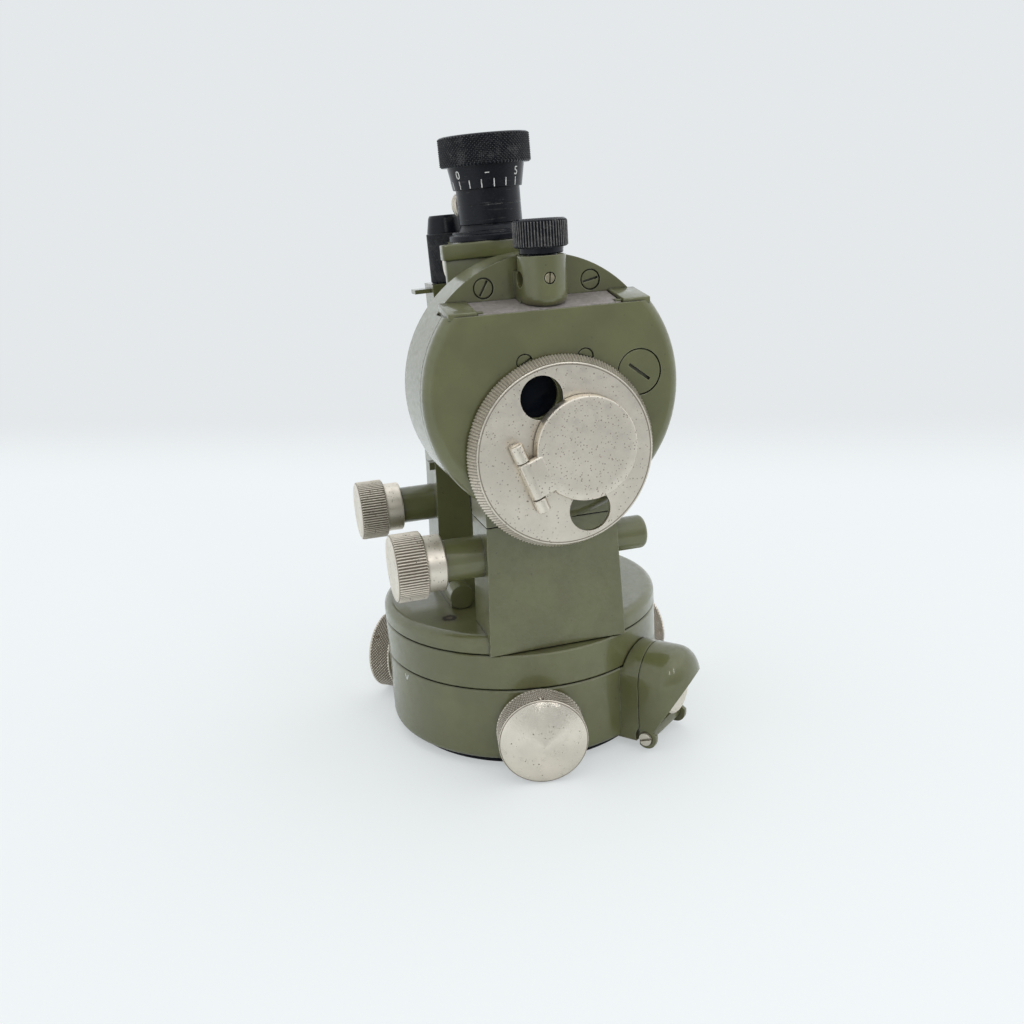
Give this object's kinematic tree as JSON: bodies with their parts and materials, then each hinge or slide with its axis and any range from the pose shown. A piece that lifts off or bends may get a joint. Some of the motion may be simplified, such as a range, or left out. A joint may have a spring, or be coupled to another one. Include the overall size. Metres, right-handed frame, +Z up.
{
  "type": "optical theodolite",
  "caption": "Compact optical theodolite: round levelling base, U-shaped standards, tilting telescope with reading microscope, and a circle housing with a turning light disc.",
  "frame": {"origin": "on the vertical axis, at the plane that the bottom plate stands on", "axes": "+Z up along the vertical axis; -Y faces the circle housing's cover; -X is the side of the tangent knobs and of the reading microscope"},
  "size_m": [0.105, 0.1062, 0.1867],
  "materials": {
    "olive_enamel": "satin olive-green stove enamel over cast aluminium",
    "nickel_plate": "satin nickel plate with fine pits",
    "black_anodised": "black anodised, worn on the edges",
    "black_enamel": "black enamel",
    "bronze": "turned bronze",
    "steel": "ground steel",
    "glass": "clear optical glass",
    "dark_glass": "dark glass",
    "mirror": "silvered mirror"
  },
  "bodies": {
    "base": {"base_body": "olive_enamel", "bottom_plate": "black_enamel", "bottom_plate_screws": "nickel_plate", "base_bushes": "bronze", "circle_ring": "olive_enamel", "cover_pivot_screws": "nickel_plate"},
    "cover": {"circle_cover": "olive_enamel"},
    "circle_drive": {"circle_drive_knob": "nickel_plate"},
    "circle": {"circle_carrier": "bronze", "horizontal_circle": "glass"},
    "alidade": {"alidade_plate": "olive_enamel", "spindle": "steel", "front_standard": "olive_enamel", "rear_standard": "olive_enamel", "circle_housing": "olive_enamel", "housing_cover": "olive_enamel", "sector_plate": "olive_enamel", "index_window": "glass", "index_level_vial": "glass", "housing_screws": "nickel_plate", "cover_plug": "olive_enamel", "light_windows": "dark_glass", "disc_pivot": "nickel_plate", "plate_level_tube": "olive_enamel", "plate_level_vial": "glass", "alidade_bushes": "bronze", "trunnion_cap": "olive_enamel"},
    "front_tangent": {"front_tangent_knob": "nickel_plate"},
    "front_push": {"front_plunger": "bronze"},
    "rear_tangent": {"rear_tangent_knob": "nickel_plate"},
    "rear_push": {"rear_plunger": "bronze"},
    "prism": {"prism_knob": "black_anodised", "index_prism": "glass"},
    "disc": {"illumination_disc": "nickel_plate", "cap_hinge_pin": "nickel_plate"},
    "cap": {"mirror_cap": "nickel_plate", "cap_mirror": "mirror"},
    "telescope": {"telescope_body": "olive_enamel", "trunnion_journals": "steel", "vertical_circle": "glass", "objective_cell": "black_anodised", "objective_lens": "glass", "eyepiece_tube": "black_anodised", "microscope_foot": "olive_enamel", "reticle_cap": "nickel_plate", "sight_vane": "olive_enamel"},
    "eye_ring": {"eyepiece_ring": "black_anodised"},
    "eye_lens": {"eyepiece_lens": "glass"},
    "focus": {"focus_knob": "nickel_plate"},
    "focus_lens": {"focusing_lens": "glass"},
    "microscope": {"microscope_sleeve": "black_anodised"},
    "level_1": {"level_knob_1": "nickel_plate", "level_cam_1": "bronze"},
    "foot_1": {"foot_plunger_1": "steel"},
    "level_2": {"level_knob_2": "nickel_plate", "level_cam_2": "bronze"},
    "foot_2": {"foot_plunger_2": "steel"},
    "level_3": {"level_knob_3": "nickel_plate", "level_cam_3": "bronze"},
    "foot_3": {"foot_plunger_3": "steel"}
  },
  "joints": [
    {"name": "level_knob_1_turn", "type": "hinge", "parent": "base", "child": "level_1", "pos_m": [-0.00937, -0.04911, 0.0138], "axis": [-0.1874, -0.9823, 0], "range_deg": [-150, 150]},
    {"name": "foot_1_slide", "type": "slide", "parent": "base", "child": "foot_1", "axis": [0, 0, -1], "range_m": [-0.00101, 0.00101]},
    {"name": "level_knob_2_turn", "type": "hinge", "parent": "base", "child": "level_2", "pos_m": [0.04722, 0.01644, 0.0138], "axis": [0.9444, 0.3289, 0], "range_deg": [-150, 150]},
    {"name": "foot_2_slide", "type": "slide", "parent": "base", "child": "foot_2", "axis": [0, 0, -1], "range_m": [-0.00101, 0.00101]},
    {"name": "level_knob_3_turn", "type": "hinge", "parent": "base", "child": "level_3", "pos_m": [-0.03785, 0.03267, 0.0138], "axis": [-0.757, 0.6534, 0], "range_deg": [-150, 150]},
    {"name": "foot_3_slide", "type": "slide", "parent": "base", "child": "foot_3", "axis": [0, 0, -1], "range_m": [-0.00101, 0.00101]},
    {"name": "cover_fold", "type": "hinge", "parent": "base", "child": "cover", "pos_m": [0.03304, -0.0408, 0.0046], "axis": [0.7771, 0.6293, 0], "range_deg": [0, 66]},
    {"name": "circle_turn", "type": "hinge", "parent": "base", "child": "circle", "pos_m": [0, 0, 0.025], "axis": [0, 0, 1], "continuous": true},
    {"name": "circle_drive_turn", "type": "hinge", "parent": "base", "child": "circle_drive", "pos_m": [0.03147, -0.03886, 0.0179], "axis": [0.6293, -0.7771, 0], "continuous": true},
    {"name": "alidade_turn", "type": "hinge", "parent": "base", "child": "alidade", "pos_m": [0, 0, 0.035], "axis": [0, 0, 1], "continuous": true},
    {"name": "front_tangent_turn", "type": "hinge", "parent": "alidade", "child": "front_tangent", "pos_m": [-0.04, -0.033, 0.0673], "axis": [-1, 0, 0], "range_deg": [-720, 720]},
    {"name": "front_push_slide", "type": "slide", "parent": "alidade", "child": "front_push", "axis": [1, 0, 0], "range_m": [-0.00101, 0.00101]},
    {"name": "rear_tangent_turn", "type": "hinge", "parent": "alidade", "child": "rear_tangent", "pos_m": [-0.04, 0.033, 0.0673], "axis": [-1, 0, 0], "range_deg": [-720, 720]},
    {"name": "rear_push_slide", "type": "slide", "parent": "alidade", "child": "rear_push", "axis": [1, 0, 0], "range_m": [-0.00101, 0.00101]},
    {"name": "prism_turn", "type": "hinge", "parent": "alidade", "child": "prism", "pos_m": [0, -0.044, 0.156], "axis": [0, 0, 1], "range_deg": [-90, 90]},
    {"name": "disc_turn", "type": "hinge", "parent": "alidade", "child": "disc", "pos_m": [0, -0.0548, 0.10025], "axis": [0, -1, 0], "continuous": true},
    {"name": "cap_fold", "type": "hinge", "parent": "disc", "child": "cap", "pos_m": [-0.01143, -0.0591, 0.09598], "axis": [0.3502, 0, -0.9367], "range_deg": [0, 120]},
    {"name": "telescope_tilt", "type": "hinge", "parent": "alidade", "child": "telescope", "pos_m": [0, 0, 0.1165], "axis": [0, -1, 0], "range_deg": [-136, 136]},
    {"name": "eye_ring_turn", "type": "hinge", "parent": "telescope", "child": "eye_ring", "pos_m": [-0.00168, 0, 0.17648], "axis": [-0.0279, 0, 0.9996], "range_deg": [-140, 140]},
    {"name": "eye_lens_slide", "type": "slide", "parent": "telescope", "child": "eye_lens", "axis": [-0.0279, 0, 0.9996], "range_m": [-0.00121, 0.00121]},
    {"name": "focus_turn", "type": "hinge", "parent": "telescope", "child": "focus", "pos_m": [-0.01295, 0, 0.15035], "axis": [-0.9996, 0, -0.0279], "range_deg": [-255, 255]},
    {"name": "focus_lens_slide", "type": "slide", "parent": "telescope", "child": "focus_lens", "axis": [-0.0279, 0, 0.9996], "range_m": [-0.0045, 0.0045]},
    {"name": "microscope_turn", "type": "hinge", "parent": "telescope", "child": "microscope", "pos_m": [-0.01127, 0.0182, 0.1512], "axis": [-0.0279, 0, 0.9996], "range_deg": [-120, 120]}
  ],
  "couplings": [
    {"joint": "foot_1_slide", "follows": "level_knob_1_turn", "m_per_rad": 0.00038197},
    {"joint": "foot_2_slide", "follows": "level_knob_2_turn", "m_per_rad": 0.00038197},
    {"joint": "foot_3_slide", "follows": "level_knob_3_turn", "m_per_rad": 0.00038197},
    {"joint": "circle_drive_turn", "follows": "circle_turn", "ratio": -5.5645},
    {"joint": "front_push_slide", "follows": "front_tangent_turn", "m_per_rad": -0.000079577},
    {"joint": "rear_push_slide", "follows": "rear_tangent_turn", "m_per_rad": -0.000079577},
    {"joint": "eye_lens_slide", "follows": "eye_ring_turn", "m_per_rad": 0.00049111},
    {"joint": "focus_turn", "follows": "focus_lens_slide", "rad_per_m": 659.35}
  ]
}
